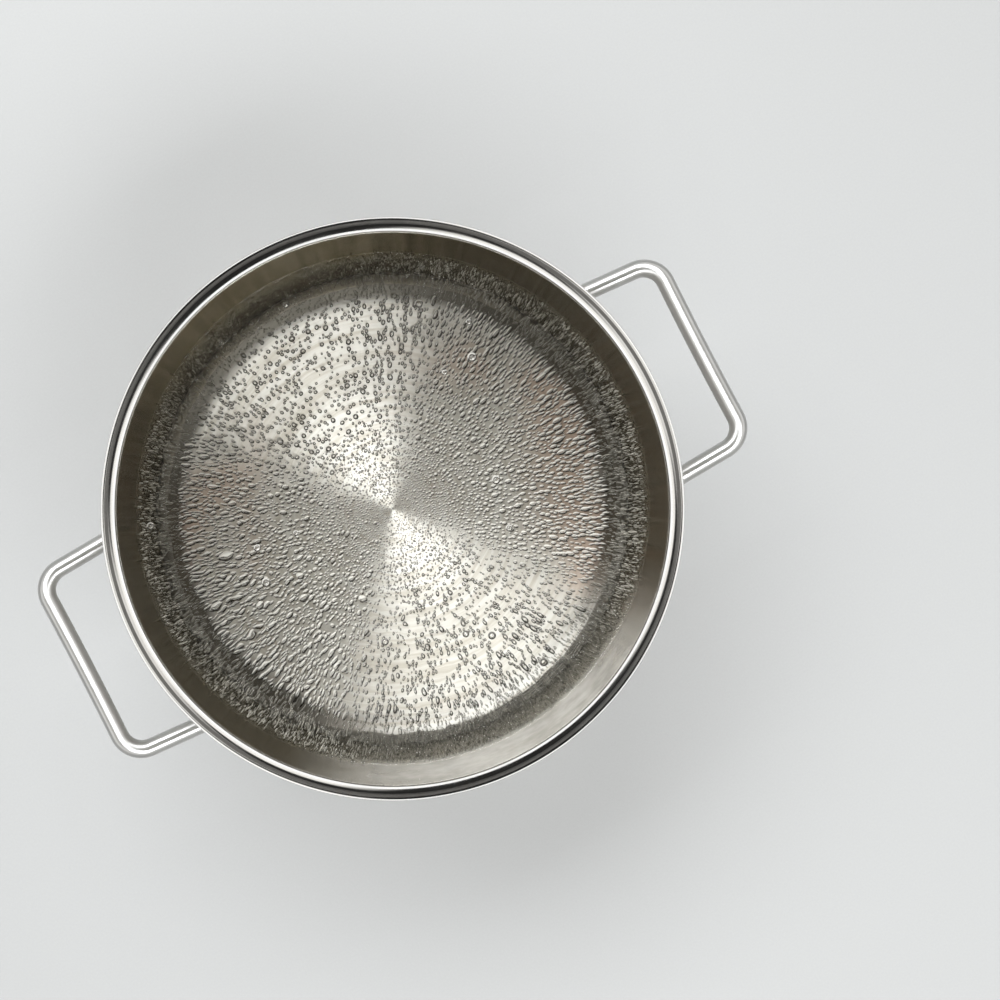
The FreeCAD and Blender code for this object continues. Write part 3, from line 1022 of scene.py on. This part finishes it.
def floating(rng):
    """A large bubble just under the surface."""
    far, turn = 0.95 * INNER_RADIUS * math.sqrt(rng.uniform(0, 1)), rng.uniform(0, 2 * math.pi)
    radius = rng.uniform(1.2, 2.3) * MM
    return (far * math.cos(turn), far * math.sin(turn), WATER_TOP - radius * 1.05), radius


def bubbles(name, kept, skin, subdivisions, pulled=0.0, upright=1.0):
    """One mesh of balls, longer away from the axis the further out they are.

    Those towards the key stay round, and upright stretches all of them upwards.
    """
    corners, faces = ball(subdivisions)
    places = np.array([p for p, _ in kept])
    radii = np.array([r for _, r in kept])
    far = np.hypot(places[:, 0], places[:, 1])
    away = places[:, :2] / far[:, None]
    from_key = np.degrees(np.arctan2(away[:, 1], away[:, 0])) - KEY_ANGLE
    round_ones = np.exp(-(from_key / 30.0) ** 2)
    stretch = pulled * (far / INNER_RADIUS) ** 2 * (1.0 - round_ones)
    along = corners[None, :, 0] * away[:, None, 0] + corners[None, :, 1] * away[:, None, 1]
    shape = np.repeat(corners[None], len(kept), axis=0)
    shape[:, :, :2] += (stretch[:, None] * along)[:, :, None] * away[:, None]
    shape[:, :, 2] *= upright
    vertices = (shape * radii[:, None, None] + places[:, None]).reshape(-1, 3)
    numbers = (faces[None] + (np.arange(len(kept)) * len(corners))[:, None, None]).reshape(-1, 3)
    piece = new_piece(name, vertices, numbers.tolist())
    piece.data.materials.append(skin)


def all_bubbles():
    """On the floor, crowded in its middle, on the corner and the wall, and a few afloat."""
    rng = np.random.default_rng(SEED)
    floor = scattered(rng, 24000, on_floor, 1.0)
    corner = scattered(rng, 5200, in_the_corner, 1.2)
    wall = scattered(rng, 7000, on_wall, 1.2)
    bubbles("bubbles_on_floor", floor, floor_bubble(), 2, pulled=1.5)
    bubbles("bubbles_in_the_middle", scattered(rng, 3200, in_the_middle, 1.2), floor_bubble(), 2)
    bubbles("bubbles_on_wall", wall, wall_bubble(), 2, pulled=2.0, upright=2.2)
    bubbles("bubbles_in_the_corner", corner, wall_bubble(), 2, pulled=2.0)
    bubbles("bubbles_floating", scattered(rng, 16, floating, 1.5), floating_bubble(), 4)


@cache
def water():
    """Clear water.  Only the camera's rays bend, so that the light in the pot is clean."""
    s = Surface("water")
    s.nodes.remove(s.shader)
    bending = {"Color": WATER_COLOUR, "IOR": WATER_IOR, "Roughness": 0.0}
    glass = s.add("ShaderNodeBsdfRefraction", bending)
    gloss = s.add("ShaderNodeBsdfGlossy", {"Roughness": 0.02})
    fresnel = s.add("ShaderNodeFresnel", {"IOR": WATER_IOR}).outputs[0]
    shine = s.math("MAXIMUM", s.math("SUBTRACT", fresnel, 0.015), 0.0)
    body = s.add("ShaderNodeMixShader", {0: shine, 1: glass.outputs[0], 2: gloss.outputs[0]})
    path = s.add("ShaderNodeLightPath").outputs
    s.see_through(s.math("SUBTRACT", 1.0, path["Is Camera Ray"]), body.outputs[0])
    return s.material


def bubble_skin(name, dark_side, light_side, edge_share, half_share):
    """Air in water, whose edge has painted shade on the side to -Y and a painted highlight on the
    side towards the key at +Y.

    edge_share is how much of its edge is painted, and half_share how much of each half is.
    """
    s = Surface(name)
    s.nodes.remove(s.shader)
    glass = s.add("ShaderNodeBsdfGlass", {"IOR": 1 / WATER_IOR, "Roughness": 0.0})
    _, away = s.polar()
    normal = s.add("ShaderNodeNewGeometry").outputs["Normal"]
    towards_key = s.split(normal)[1]
    between_lamps = s.ramp(s.math("ABSOLUTE", s.split(away)[1]), 0.65, 0.95, 1.0, 0.3)
    # Painted highlight on the side towards the key, painted shade on the other
    lit = s.math("MULTIPLY", s.ramp(towards_key, -0.1, 0.3), between_lamps)
    colour = s.mix(lit, dark_side, light_side)
    edge = s.add("ShaderNodeBsdfDiffuse", {"Color": colour})
    facing = s.add("ShaderNodeLayerWeight", {"Blend": 0.5}).outputs["Facing"]
    halves = s.ramp(s.math("ABSOLUTE", towards_key), 0.08, 0.4, 0.0, half_share)
    halves = s.math("MULTIPLY", halves, between_lamps)
    shade = s.math("MULTIPLY", s.math("MAXIMUM", s.ramp(facing, 0.1, 0.45), halves), edge_share)
    body = s.add("ShaderNodeMixShader", {0: shade, 1: glass.outputs[0], 2: edge.outputs[0]})
    path = s.add("ShaderNodeLightPath").outputs
    s.see_through(path["Is Shadow Ray"], body.outputs[0], s.ramp(facing, 0.15, 0.6, 1.0, 0.35))
    return s.material


@cache
def floor_bubble():
    """Steam bubble on the floor, with painted shade on one side and a painted highlight on the other.
    """
    return bubble_skin("floor_bubble", (0.02, 0.016, 0.01), (1.0, 0.97, 0.91), 0.97, 0.92)


@cache
def floating_bubble():
    """Large, clear bubble under the surface, with only its edge shaded."""
    return bubble_skin("floating_bubble", (0.05, 0.045, 0.04), (0.80, 0.78, 0.74), 0.8, 0.0)


@cache
def wall_bubble():
    """Fainter bubble on the wall or the round corner."""
    return bubble_skin("wall_bubble", (0.09, 0.085, 0.07), (0.72, 0.69, 0.61), 0.75, 0.3)


def main():
    """The pot in its studio, with the water in it."""
    camera()
    studio(pot_shell(), base_cap())
    for side in SIDES:
        handle_rod(side)
        for end in ENDS:
            weld_bead(side, end)
    finish_cad_nodes()
    water_surface()
    all_bubbles()


main()
